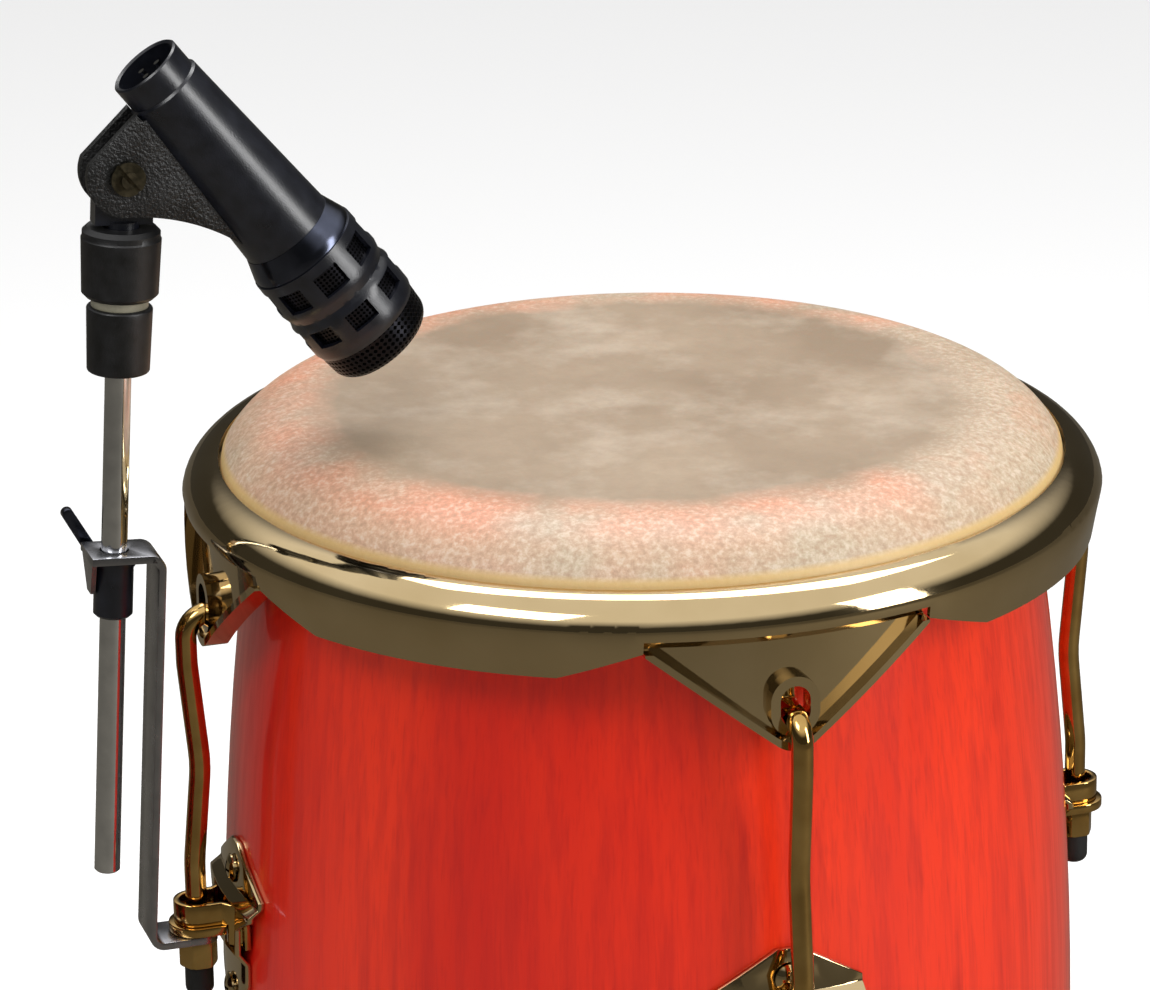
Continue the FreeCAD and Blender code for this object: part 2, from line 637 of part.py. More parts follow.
def make_claw():
    """Flat bar bent twice: foot tab under the saddle, leaning upright, tab for the rod on top."""
    body = new_body("mic_bracket", bearing=LEFT)
    lean = "clawLean"
    up_x, up_z = "(0 - sin(%s))" % lean, "cos(%s)" % lean
    top = CLAW_TOP
    foot = "(%s - clawSheet)" % top
    heel = "clawFootRadius"
    crown_x = "(%s + clawTall * %s)" % (heel, up_x)
    crown_z = "(%s + clawTall * %s)" % (foot, up_z)
    reach_x = "(%s + clawReach * cos(%s))" % (crown_x, lean)
    reach_z = "(%s + clawReach * sin(%s))" % (crown_z, lean)
    sheet_x, sheet_z = "clawSheet * " + up_x, "clawSheet * " + up_z
    back_x = "(%s - clawSheet * cos(%s))" % (crown_x, lean)
    back_z = "(%s - clawSheet * sin(%s))" % (crown_z, lean)
    corners = [
        ("clawInner", foot), (heel, foot), (crown_x, crown_z), (reach_x, reach_z),
        ("%s + %s" % (reach_x, sheet_x), "%s + %s" % (reach_z, sheet_z)),
        ("%s + %s" % (back_x, sheet_x), "%s + %s" % (back_z, sheet_z)),
        ("%s - clawSheet / cos(%s)" % (heel, lean), top), ("clawInner", top),
    ]
    pad(body, outline(body, "XZ_Plane", corners), "2 * clawHalf", centred=True)
    for index, radius in ((1, "clawBend + clawSheet"), (5, "clawBend + clawSheet"), (2, "clawBend"), (6, "clawBend")):
        fillet(body, edges_at(body, corners[index]), radius)
    fillet(body, edges_where(body, lambda edge: edge.BoundBox.XMax < size("clawInner") + 0.1
                             and edge.BoundBox.YLength < 0.01 and edge.BoundBox.ZLength > 1), "clawHalf * 0.6")
    hole = ("lugRadius", "0", "rodRadius + 0.45")
    pocket(body, outline(body, "XY_Plane", hole, away=top), "clawSheet + 1")
    cutter = outline(body, "XY_Plane", ("rodCentre", "0", "postRadius + 0.5"), away="rodBase + 8")
    pocket(body, cutter, "20")
    tongue = [
        ("-8.5", reach_z + " + 0.5"), ("-3", reach_z + " - tongueDepth"),
        ("3", reach_z + " - tongueDepth"), ("8.5", reach_z + " + 0.5"),
    ]
    pad(body, outline(body, "YZ_Plane", tongue, away=reach_x + " - 2"), "1.8")


def on_rod(height="0"):
    """Placement of a piece built round the microphone rod, measured from the top tab."""
    turn = FreeCAD.Rotation(Vector(0, 0, 1), LEFT - 90)
    lean = FreeCAD.Rotation(Vector(0, 1, 0), -size("clawLean"))
    base = turn.multVec(Vector(size("rodCentre"), 0, size("rodBase")))
    both = turn.multiply(lean)
    return FreeCAD.Placement(base + both.multVec(Vector(0, 0, size(height))), both)


def make_clamp():
    turned("mic_clamp_collar", [
        ("postRadius + 0.05", "0 - clawSheet - 0.3 - clampLength"),
        ("clampRadius - 1", "0 - clawSheet - 0.3 - clampLength"),
        ("clampRadius", "0 - clawSheet + 0.7 - clampLength"),
        ("clampRadius", "0 - clawSheet - 2.3"),
        ("clampFlange", "0 - clawSheet - 2.3"),
        ("clampFlange", "0 - clawSheet - 0.3"),
        ("postRadius + 0.05", "0 - clawSheet - 0.3"),
    ], on_rod())
    collar = finished["mic_clamp_collar"]
    pocket(collar, outline(collar, "XZ_Plane", ("0", "0 - leverDrop", "2.7"), away="clampRadius + 2"), "clampRadius")
    lever = new_body("mic_clamp_lever", placement=on_rod())
    shank = outline(lever, "XZ_Plane", ("0", "0 - leverDrop", "2.5"), away="postRadius + 0.15")
    pad(lever, shank, "4.6")
    hub = outline(lever, "XZ_Plane", ("0", "0 - leverDrop", "leverHub"), away="postRadius + 3")
    pad(lever, hub, "9.5")
    blade = [
        ("-2.4", "0 - leverDrop"), ("2.2", "-leverDrop - 1.6"), ("leverLength * sin(33) + 1.8", "leverLength * cos(33) - leverDrop - 1.2"),
        ("leverLength * sin(33) - 1.8", "leverLength * cos(33) - leverDrop + 1.2", "2.17"),
    ]
    pad(lever, outline(lever, "XZ_Plane", blade, away="postRadius + 8.3"), "leverSheet")


def make_post():
    ring_low = "gripBottom + gripTall"
    turned("mic_rod", [
        ("0", "0 - postDown"), ("postRadius - 0.8", "0 - postDown"), ("postRadius", "0.8 - postDown"),
        ("postRadius", "postUp"), ("0", "postUp"),
    ], on_rod())
    grip = [
        ("postRadius + 0.02", "gripBottom"), ("gripRadius - 1.4", "gripBottom"),
        ("gripRadius - 0.6", "gripBottom + 0.9", "1"), ("gripRadius", ring_low + " - 1"),
        ("gripRadius - 1", ring_low, "1.2"), ("postRadius + 0.02", ring_low),
    ]
    turned("mic_rod_sleeve", grip, on_rod())
    ring("mic_spacer_ring", "0", "spacerRadius", ring_low + " + 0.05", ring_low + " + spacerTall", on_rod())
    knob_low = ring_low + " + spacerTall + 0.2"
    knob_high = knob_low + " + knobTall - 0.4"
    bore = "swivelRadius + 0.3"
    turned("mic_lock_knob", [
        (bore, knob_low), ("knobRadius - 2.2", knob_low), ("knobRadius - 0.6", knob_low + " + 1.6"),
        ("knobRadius", knob_high + " - 4.2"), ("knobRadius - 0.4", knob_high + " - 3.6"),
        ("knobRadius - 0.4", knob_high + " - 1.6"), ("knobRadius - 2", knob_high), (bore, knob_high),
    ], on_rod())


def make_swivel():
    """Neck that rises through the lock knob and carries the flat lug of the tilt joint."""
    low = "gripBottom + gripTall + spacerTall + 0.5"
    body = turned("mic_swivel_neck", [
        ("0", low), ("swivelRadius", low), ("swivelRadius", "neckTop"), ("0", "neckTop"),
    ], on_rod())
    lug = [
        ("0 - eyeRadius", "neckTop - 1"), ("eyeRadius", "neckTop - 1"), ("eyeRadius", "pivotHeight"),
        ("0 - eyeRadius", "pivotHeight", "eyeRadius"),
    ]
    pad(body, outline(body, "XZ_Plane", lug), "lugThick", centred=True)
    pocket(body, outline(body, "XZ_Plane", ("0", "pivotHeight", "pivotShaft + 0.05")))


# ---------------------------------------------------------------- microphone
def on_mic():
    """Placement of a piece built round the microphone's axis, from the socket's rim forwards."""
    turn = FreeCAD.Rotation(Vector(0, 0, 1), LEFT - 90)
    pivot = on_rod("pivotHeight").Base
    dip = FreeCAD.Rotation(Vector(0, 1, 0), -90 - size("micDip"))
    both = turn.multiply(dip)
    return FreeCAD.Placement(pivot - both.multVec(Vector(-size("pivotBelow"), 0, size("pivotAlong"))), both)


def tube_radius(along):
    return "(tubeRear + (tubeFront - tubeRear) * (%s - socketLength) / (tubeEnd - socketLength))" % along


def make_mic():
    place = on_mic()
    turned("mic_socket_barrel", [
        ("socketInner", "0.6"), ("socketOuter - 0.6", "0"), ("socketOuter", "0.6"),
        ("socketOuter", "socketLength"), ("socketInner", "socketLength"),
    ], place)
    turned("mic_socket_insert", [
        ("0", "socketLength + 0.1"), ("tubeRear - tubeWall - 0.3", "socketLength + 0.1"),
        ("tubeRear - tubeWall - 0.3", "socketLength + 6"), ("0", "socketLength + 6"),
    ], place)
    pins = new_body("mic_socket_pins", placement=place)
    prong = ("4", "0", "1.2")
    pad(pins, outline(pins, "XY_Plane", prong, away="2.2"), "socketLength - 2.2")
    around(pins, "3")
    turned("mic_tube", [
        ("tubeRear - tubeWall", "socketLength + 0.05"), ("tubeRear - 0.8", "socketLength + 0.05"),
        ("tubeRear", "socketLength + 0.9"), ("tubeFront", "tubeEnd"), ("tubeFront - tubeWall", "tubeEnd"),
    ], place)
    turned("mic_shoulder_ring", [
        ("tubeFront - tubeWall", "tubeEnd + 0.05"), ("tubeFront + 0.2", "tubeEnd + 0.05"),
        ("headRadius - 0.6", "shoulderEnd - 1.5"), ("headRadius - 0.6", "shoulderEnd"),
        ("headRadius - 0.6 - tubeWall", "shoulderEnd"),
    ], place)
    make_mic_head(place)
    make_cheeks(place)
    turned("mic_capsule", [
        ("0", "headEnd - 22"), ("capsuleRadius - 1", "headEnd - 22"), ("capsuleRadius", "headEnd - 21"),
        ("capsuleRadius", "headEnd - 6"), ("capsuleRadius - 1.5", "headEnd - 5"), ("0", "headEnd - 5"),
    ], place)
    ring("mic_capsule_mount", "capsuleRadius + 0.02", "headRadius - headWall - 1.1", "headEnd - 19", "headEnd - 15", place)


def make_mic_head(place):
    """Grille frame with two rows of windows, a mesh liner behind them and a mesh nose."""
    frame = turned("mic_grille_frame", [
        ("headRadius - headWall", "shoulderEnd + 0.05"), ("headRadius", "shoulderEnd + 0.05"),
        ("headRadius + 0.5", "shoulderEnd + 15"), ("headRadius - 0.5", "shoulderEnd + 19"),
        ("headRadius + 0.6", "shoulderEnd + 22"), ("headRadius + 0.4", "headEnd - 2"),
        ("headRadius - 0.3", "headEnd"), ("headRadius - headWall", "headEnd"),
    ], place)
    for low, high in (("shoulderEnd + 4", "shoulderEnd + 13"), ("shoulderEnd + 22.5", "shoulderEnd + 30")):
        hole = outline(frame, "YZ_Plane", box_outline("-5.2", "5.2", low, high), away="headRadius + 2")
        before = frame.Shape.Volume
        cut = frame.newObject("PartDesign::Pocket", frame.Name + "_window")
        cut.Profile = hole
        cut.setExpression("Length", cells("headWall + 6"))
        doc.recompute()
        rounds = frame.newObject("PartDesign::PolarPattern", frame.Name + "_windows")
        rounds.Originals = [cut]
        rounds.Axis = (plane_of(frame, "Z_Axis"), [""])
        rounds.Occurrences = int(size("windowCount"))
        frame.Tip = rounds
        doc.recompute()
        if frame.Shape.Volume > before - 100:
            raise RuntimeError("the grille windows are not cut")
    ring("mic_grille_liner", "headRadius - headWall - 0.9", "headRadius - headWall - 0.1",
         "shoulderEnd + 0.3", "headEnd - 0.3", place)
    turned("mic_nose_mesh", [
        ("headRadius - headWall - 1.2", "headEnd + 0.05"), ("headRadius - 0.4", "headEnd + 0.05"),
        ("headRadius - 1", "noseEnd - 5"), ("headRadius - 6", "noseEnd", "6"), ("0", "noseEnd"),
        ("0", "noseEnd - 1"), ("headRadius - 6.3", "noseEnd - 1"), ("headRadius - 2", "noseEnd - 5", "-5"),
    ], place)


def make_cheeks(place):
    """Two flat cheeks under the tube that straddle the lug, with their screw and nut."""
    lobe_x, lobe_z = "0 - pivotBelow", "pivotAlong"
    shape = [
        ("-8", "13"), ("-8", "75.5"), ("-14.5", "75.5"),
        ("0 - pivotBelow - 7.7", "pivotAlong + sqrt(lobeRadius^2 - 7.7^2)", "-75"),
        ("0 - pivotBelow - 7", "pivotAlong - sqrt(lobeRadius^2 - 7^2)", "lobeRadius"),
        ("-13.5", "9.5"), ("-13.5", "13"),
    ]
    cheeks = new_body("mic_clip_cheeks", placement=place)
    pad(cheeks, outline(cheeks, "XZ_Plane", shape), "2 * (cheekInner + cheekSheet)", centred=True)
    gap = box_outline("-60", "0", "0", "90")
    slot = outline(cheeks, "XZ_Plane", gap)
    middle = cheeks.newObject("PartDesign::Pocket", "cheek_gap")
    middle.Profile = slot
    middle.Midplane = True
    middle.setExpression("Length", cells("2 * cheekInner"))
    doc.recompute()
    clear = [
        ("0", "0"), (tube_radius("socketLength") + " + 0.1", "0"), (tube_radius("socketLength") + " + 0.1", "socketLength"),
        ("tubeFront + 0.1", "tubeEnd"), ("tubeFront + 0.1", "tubeEnd + 5"), ("0", "tubeEnd + 5"),
    ]
    revolve(cheeks, outline(cheeks, "XZ_Plane", clear), cut=True)
    pocket(cheeks, outline(cheeks, "XZ_Plane", (lobe_x, lobe_z, "pivotShaft + 0.05")))
    outside = "cheekInner + cheekSheet"
    screw = new_body("mic_pivot_screw", placement=place)
    pad(screw, outline(screw, "XZ_Plane", (lobe_x, lobe_z, "pivotShaft")), "2 * (%s) + 8" % outside, centred=True)
    head = outline(screw, "XZ_Plane", (lobe_x, lobe_z, "6.2"), away="0 - (%s) - 1.9" % outside)
    pad(screw, head, "1.8")
    slot = box_outline(lobe_x + " - 0.7", lobe_x + " + 0.7", lobe_z + " - 8", lobe_z + " + 8")
    pad_cut = outline(screw, "XZ_Plane", slot, away="0 - (%s) - 0.9" % outside)
    cut = screw.newObject("PartDesign::Pocket", "screw_slot")
    cut.Profile = pad_cut
    cut.setExpression("Length", "6")
    cut.Reversed = False
    doc.recompute()
    nut = new_body("mic_pivot_nut", placement=place)
    shell = outline(nut, "XZ_Plane", (lobe_x, lobe_z, "5"), (lobe_x, lobe_z, "pivotShaft + 0.05"),
                    away=outside + " + 0.1")
    pad(nut, shell, "3")


make_shell()
make_foot_rubber()
make_head()
make_skirt()
make_hoop()
make_rim()
make_ears()
make_hooks()
make_caps()
make_nuts()
make_straps()
make_saddles()
make_plates()
make_screws()
make_claw()
make_clamp()
make_post()
make_swivel()
make_mic()
doc.recompute()

for thing in doc.Objects:
    if "Invalid" in thing.State or "Error" in thing.State:
        raise RuntimeError("%s failed: %s" % (thing.Label, thing.State))
for name, body in finished.items():
    if body.Shape.isNull() or not body.Shape.isValid() or not body.Shape.Solids:
        raise RuntimeError("%s has no valid shape" % name)

os.makedirs("parts", exist_ok=True)
for name, body in finished.items():
    body.Shape.exportStep(os.path.join("parts", name + ".step"))
    box = body.Shape.BoundBox
    print("%-20s %2d solids %9.0f mm3  x %.1f..%.1f  y %.1f..%.1f  z %.1f..%.1f" % (
        name, len(body.Shape.Solids), body.Shape.Volume, box.XMin, box.XMax, box.YMin, box.YMax, box.ZMin, box.ZMax))
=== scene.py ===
import json
import math
import bpy
from mathutils import Matrix, Vector


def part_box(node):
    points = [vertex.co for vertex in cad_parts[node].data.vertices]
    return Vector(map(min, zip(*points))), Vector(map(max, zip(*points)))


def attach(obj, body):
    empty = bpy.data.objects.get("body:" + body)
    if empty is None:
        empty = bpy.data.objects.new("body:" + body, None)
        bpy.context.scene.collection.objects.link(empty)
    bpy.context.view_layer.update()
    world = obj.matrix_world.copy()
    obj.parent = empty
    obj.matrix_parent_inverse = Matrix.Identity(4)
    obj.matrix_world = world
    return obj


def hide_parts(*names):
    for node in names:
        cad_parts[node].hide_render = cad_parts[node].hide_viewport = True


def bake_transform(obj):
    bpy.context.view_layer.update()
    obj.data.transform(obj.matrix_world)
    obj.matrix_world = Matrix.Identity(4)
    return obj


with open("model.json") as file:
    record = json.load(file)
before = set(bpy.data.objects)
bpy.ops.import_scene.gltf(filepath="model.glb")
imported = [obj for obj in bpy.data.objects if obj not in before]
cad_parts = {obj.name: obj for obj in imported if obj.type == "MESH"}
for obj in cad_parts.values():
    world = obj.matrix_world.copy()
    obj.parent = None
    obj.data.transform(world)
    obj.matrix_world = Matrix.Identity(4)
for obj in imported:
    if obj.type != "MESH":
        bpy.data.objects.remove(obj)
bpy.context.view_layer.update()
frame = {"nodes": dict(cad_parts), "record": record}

nodes = frame["nodes"]
bodyOf = {node: body for body, names in frame["record"]["behaviour"]["bodies"].items() for node in names}
mm = 0.001
weldDistance = 1e-6
print("frame loaded:", len(nodes), "nodes")


# small helpers

def deselectAll():
    if bpy.context.object and bpy.context.object.mode != "OBJECT":
        bpy.ops.object.mode_set(mode="OBJECT")
    bpy.ops.object.select_all(action="DESELECT")


def makeActive(piece):
    deselectAll()
    piece.select_set(True)
    bpy.context.view_layer.objects.active = piece


def applyModifiers(piece):
    makeActive(piece)
    for modifier in list(piece.modifiers):
        bpy.ops.object.modifier_apply(modifier=modifier.name)


def settle(piece, name, material, body):
    # the piece ends with its place in its mesh and its object at the origin
    makeActive(piece)
    bpy.ops.object.transform_apply(location=True, rotation=True, scale=True)
    piece.name = name
    piece.data.name = name
    piece.data.materials.clear()
    piece.data.materials.append(material)
    if body:
        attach(piece, body)


def arcPoints(centre, radius, startDegrees, endDegrees, count):
    points = []
    for step in range(count + 1):
        angle = math.radians(startDegrees + (endDegrees - startDegrees) * step / count)
        points.append((centre[0] + radius * math.cos(angle), centre[1] + radius * math.sin(angle)))
    return points


def turnProfile(name, profile, segments, closed=False):
    # profile is (radius, height) in mm; a loop is extruded along it and grown or shrunk
    deselectAll()
    radius, height = profile[0]
    bpy.ops.mesh.primitive_circle_add(
        vertices=segments, radius=radius * mm, fill_type="NOTHING", location=(0, 0, height * mm))
    piece = bpy.context.object
    bpy.ops.object.transform_apply(location=True, rotation=True, scale=True)
    bpy.ops.object.mode_set(mode="EDIT")
    bpy.ops.mesh.select_mode(type="VERT")
    bpy.ops.mesh.select_all(action="SELECT")
    path = profile[1:] + ([profile[0]] if closed else [])
    for nextRadius, nextHeight in path:
        bpy.ops.mesh.extrude_region_move(
            TRANSFORM_OT_translate={"value": (0, 0, (nextHeight - height) * mm)})
        grow = nextRadius / radius
        bpy.ops.transform.resize(value=(grow, grow, 1), center_override=(0, 0, nextHeight * mm))
        radius, height = nextRadius, nextHeight
    bpy.ops.mesh.select_all(action="SELECT")
    bpy.ops.mesh.remove_doubles(threshold=weldDistance)
    bpy.ops.mesh.normals_make_consistent(inside=False)
    bpy.ops.object.mode_set(mode="OBJECT")
    piece.name = name
    return piece


def fillLoop(piece, height):
    # closes the open ring of edges that lies nearest the axis at this height
    makeActive(piece)
    mesh = piece.data
    ring = [v.index for v in mesh.vertices if abs(v.co.z - height * mm) < weldDistance]
    least = min(mesh.vertices[index].co.xy.length for index in ring)
    for index in ring:
        mesh.vertices[index].select = mesh.vertices[index].co.xy.length < least + weldDistance
    bpy.ops.object.mode_set(mode="EDIT")
    bpy.ops.mesh.select_mode(type="VERT")
    bpy.ops.mesh.edge_face_add()
    bpy.ops.object.mode_set(mode="OBJECT")


# shader groups that several finishes share

def newGroup(name, inputs, outputs):
    group = bpy.data.node_groups.new(name, "ShaderNodeTree")
    for label, kind, value in inputs:
        socket = group.interface.new_socket(name=label, in_out="INPUT", socket_type=kind)
        if value is not None:
            socket.default_value = value
    for label, kind in outputs:
        group.interface.new_socket(name=label, in_out="OUTPUT", socket_type=kind)
    return group, group.nodes.new("NodeGroupInput"), group.nodes.new("NodeGroupOutput")


def mathNode(tree, operation, first, second=None):
    node = tree.nodes.new("ShaderNodeMath")
    node.operation = operation
    for index, value in enumerate((first, second)):
        if value is None:
            continue
        if isinstance(value, (int, float)):
            node.inputs[index].default_value = value
        else:
            tree.links.new(value, node.inputs[index])
    return node.outputs[0]


def noiseNode(tree, vector, scale, detail=3.0, roughness=0.5):
    node = tree.nodes.new("ShaderNodeTexNoise")
    node.inputs["Detail"].default_value = detail
    node.inputs["Roughness"].default_value = roughness
    tree.links.new(vector, node.inputs["Vector"])
    if isinstance(scale, (int, float)):
        node.inputs["Scale"].default_value = scale
    else:
        tree.links.new(scale, node.inputs["Scale"])
    return node.outputs["Fac"]


def rangeNode(tree, value, low, high, newLow, newHigh):
    node = tree.nodes.new("ShaderNodeMapRange")
    tree.links.new(value, node.inputs["Value"])
    for label, bound in (("From Min", low), ("From Max", high), ("To Min", newLow), ("To Max", newHigh)):
        if isinstance(bound, (int, float)):
            node.inputs[label].default_value = bound
        else:
            tree.links.new(bound, node.inputs[label])
    return node.outputs["Result"]


def mixColour(tree, factor, first, second):
    node = tree.nodes.new("ShaderNodeMix")
    node.data_type = "RGBA"
    for label, value in (("Factor", factor), ("A", first), ("B", second)):
        socket = [s for s in node.inputs if s.name == label and s.enabled][0]
        if isinstance(value, (int, float)):
            socket.default_value = value
        elif isinstance(value, tuple):
            socket.default_value = (*value, 1.0)
        else:
            tree.links.new(value, socket)
    return [s for s in node.outputs if s.enabled][0]


def makeHandledGroup():
    # faint smears and grain: Tone varies the colour, Rough the roughness, Height the bump
    inputs = [("Scale", "NodeSocketFloat", 60.0), ("Base Rough", "NodeSocketFloat", 0.2),
              ("Spread", "NodeSocketFloat", 0.1)]
    outputs = [("Tone", "NodeSocketFloat"), ("Rough", "NodeSocketFloat"), ("Height", "NodeSocketFloat")]
    group, start, end = newGroup("handledMetal", inputs, outputs)
    place = group.nodes.new("ShaderNodeTexCoord").outputs["Object"]
    broad = noiseNode(group, place, start.outputs["Scale"], 4)
    fine = noiseNode(group, place, mathNode(group, "MULTIPLY", start.outputs["Scale"], 14), 2)
    group.links.new(broad, end.inputs["Tone"])
    swing = mathNode(group, "MULTIPLY", mathNode(group, "SUBTRACT", broad, 0.5), start.outputs["Spread"])
    rough = mathNode(group, "ADD", start.outputs["Base Rough"], mathNode(group, "MULTIPLY", swing, 2))
    group.links.new(mathNode(group, "MAXIMUM", rough, 0.02), end.inputs["Rough"])
    group.links.new(fine, end.inputs["Height"])
    return group


def makeHolesGroup():
    # staggered round holes on a turned surface; Vector is in the turned piece's own frame, in metres
    inputs = [("Vector", "NodeSocketVector", None), ("Around", "NodeSocketFloat", 60.0),
              ("Pitch", "NodeSocketFloat", 0.002)]
    group, start, end = newGroup("punchedHoles", inputs, [("Hole", "NodeSocketFloat")])
    split = group.nodes.new("ShaderNodeSeparateXYZ")
    group.links.new(start.outputs["Vector"], split.inputs[0])
    turn = mathNode(group, "ARCTAN2", split.outputs["Y"], split.outputs["X"])
    share = mathNode(group, "DIVIDE", turn, math.tau)
    column = mathNode(group, "MULTIPLY", share, start.outputs["Around"])
    across = mathNode(group, "MULTIPLY", column, math.tau)
    flat = mathNode(group, "MULTIPLY", split.outputs["X"], split.outputs["X"])
    acrossFlat = mathNode(group, "MULTIPLY", split.outputs["Y"], split.outputs["Y"])
    flat = mathNode(group, "ADD", flat, acrossFlat)
    reach = mathNode(group, "SQRT", flat)
    along = mathNode(group, "ADD", split.outputs["Z"], mathNode(group, "MULTIPLY", reach, -0.55))
    rows = mathNode(group, "MULTIPLY", mathNode(group, "DIVIDE", along, start.outputs["Pitch"]), math.tau)
    waves = mathNode(group, "ADD", mathNode(group, "COSINE", across), mathNode(group, "COSINE", rows))
    group.links.new(rangeNode(group, waves, 0.1, 0.5, 0.0, 1.0), end.inputs["Hole"])
    return group


handledMetal = makeHandledGroup()
punchedHoles = makeHolesGroup()


# finishes

def newMaterial(name, **fixed):
    material = bpy.data.materials.new(name)
    material.use_nodes = True
    shader = material.node_tree.nodes["Principled BSDF"]
    for label, value in fixed.items():
        socket = shader.inputs[label.replace("_", " ")]
        socket.default_value = (*value, 1.0) if isinstance(value, tuple) else value
    return material, material.node_tree, shader


def objectPlace(tree):
    return tree.nodes.new("ShaderNodeTexCoord").outputs["Object"]


def stretched(tree, scale):
    node = tree.nodes.new("ShaderNodeMapping")
    node.inputs["Scale"].default_value = scale
    tree.links.new(objectPlace(tree), node.inputs["Vector"])
    return node.outputs["Vector"]


def addBump(tree, shader, height, strength, distance):
    bump = tree.nodes.new("ShaderNodeBump")
    bump.inputs["Strength"].default_value = strength
    bump.inputs["Distance"].default_value = distance
    tree.links.new(height, bump.inputs["Height"])
    tree.links.new(bump.outputs["Normal"], shader.inputs["Normal"])


def metalFinish(name, dark, light, rough, spread, scale=60.0, bump=0.02, **fixed):
    material, tree, shader = newMaterial(name, Metallic=1.0, **fixed)
    handled = tree.nodes.new("ShaderNodeGroup")
    handled.node_tree = handledMetal
    handled.inputs["Scale"].default_value = scale
    handled.inputs["Base Rough"].default_value = rough
    handled.inputs["Spread"].default_value = spread
    tone = rangeNode(tree, handled.outputs["Tone"], 0.3, 0.7, 0.0, 1.0)
    tree.links.new(mixColour(tree, tone, dark, light), shader.inputs["Base Color"])
    tree.links.new(handled.outputs["Rough"], shader.inputs["Roughness"])
    addBump(tree, shader, handled.outputs["Height"], bump, 0.0004)
    return material


def paintFinish(name, dark, light, rough, spread, scale=60.0, bump=0.05, grain=0.0006, **fixed):
    material = metalFinish(name, dark, light, rough, spread, scale, bump, **fixed)
    tree = material.node_tree
    tree.nodes["Principled BSDF"].inputs["Metallic"].default_value = 0.0
    tree.nodes["Bump"].inputs["Distance"].default_value = grain
    return material


lacquerLook = {
    "broadGrain": (7, 7, 0.7), "streakGrain": (190, 190, 3.2), "poreGrain": (900, 900, 22),
    "knotGrain": (34, 34, 11),
    "staveCount": 20, "deep": (0.46, 0.004, 0.002), "bright": (0.78, 0.034, 0.003),
    "streak": (0.34, 0.0025, 0.002), "pore": (0.32, 0.002, 0.001), "stave": (0.45, 0.002, 0.001),
    "knot": (0.3, 0.002, 0.001), "streakAmount": 0.6, "poreAmount": 0.3, "staveAmount": 0.2,
    "knotAmount": 0.3}


def makeLacquer():
    # deep red stain under a thick clear coat; grain runs up the staves, with small knots
    look = lacquerLook
    material, tree, shader = newMaterial(
        "redLacquer", Coat_Weight=0.7, Coat_Roughness=0.04, Specular_IOR_Level=0.2)
    broad = noiseNode(tree, stretched(tree, look["broadGrain"]), 1.0, 5, 0.6)
    streaks = noiseNode(tree, stretched(tree, look["streakGrain"]), 1.0, 4, 0.65)
    pores = noiseNode(tree, stretched(tree, look["poreGrain"]), 1.0, 2, 0.5)
    split = tree.nodes.new("ShaderNodeSeparateXYZ")
    tree.links.new(objectPlace(tree), split.inputs[0])
    turn = mathNode(tree, "ARCTAN2", split.outputs["Y"], split.outputs["X"])
    stave = mathNode(tree, "MULTIPLY", turn, look["staveCount"] / math.tau)
    shade = tree.nodes.new("ShaderNodeTexWhiteNoise")
    shade.noise_dimensions = "1D"
    tree.links.new(mathNode(tree, "FLOOR", stave), shade.inputs["W"])
    knots = tree.nodes.new("ShaderNodeTexVoronoi")
    knots.inputs["Scale"].default_value = 1.0
    tree.links.new(stretched(tree, look["knotGrain"]), knots.inputs["Vector"])
    knot = rangeNode(tree, knots.outputs["Distance"], 0.05, 0.13, 1.0, 0.0)
    base = mixColour(tree, rangeNode(tree, broad, 0.3, 0.7, 0, 1), look["deep"], look["bright"])
    streak = rangeNode(tree, streaks, 0.45, 0.75, 0, look["streakAmount"])
    base = mixColour(tree, streak, base, look["streak"])
    pore = rangeNode(tree, pores, 0.54, 0.74, 0, look["poreAmount"])
    base = mixColour(tree, pore, base, look["pore"])
    staveShade = mathNode(tree, "MULTIPLY", shade.outputs["Value"], look["staveAmount"])
    base = mixColour(tree, staveShade, base, look["stave"])
    base = mixColour(tree, mathNode(tree, "MULTIPLY", knot, look["knotAmount"]), base, look["knot"])
    tree.links.new(base, shader.inputs["Base Color"])
    tree.links.new(rangeNode(tree, streaks, 0.3, 0.7, 0.3, 0.42), shader.inputs["Roughness"])
    addBump(tree, shader, streaks, 0.05, 0.0003)
    return material


hideLook = {
    "cloudScale": 9.0, "blotchScale": 26.0, "pinkScale": 13.0, "fineScale": 110.0, "freckleScale": 420.0,
    "fibreStretch": (160, 55, 160), "fibreScale": 4.0, "wander": 0.02,
    "dark": (0.26, 0.185, 0.12), "light": (0.36, 0.27, 0.185), "blotch": (0.47, 0.38, 0.29),
    "shadow": (0.25, 0.18, 0.12), "collar": (0.5, 0.38, 0.27), "pink": (0.72, 0.27, 0.15),
    "foot": (0.47, 0.38, 0.26), "spot": (0.33, 0.2, 0.12), "pale": (0.68, 0.58, 0.46),
    "edge": (0.62, 0.42, 0.16), "collarFrom": (0.112, 0.128), "footFrom": (0.138, 0.15),
    "edgeHeights": (0.6862, 0.6842)}


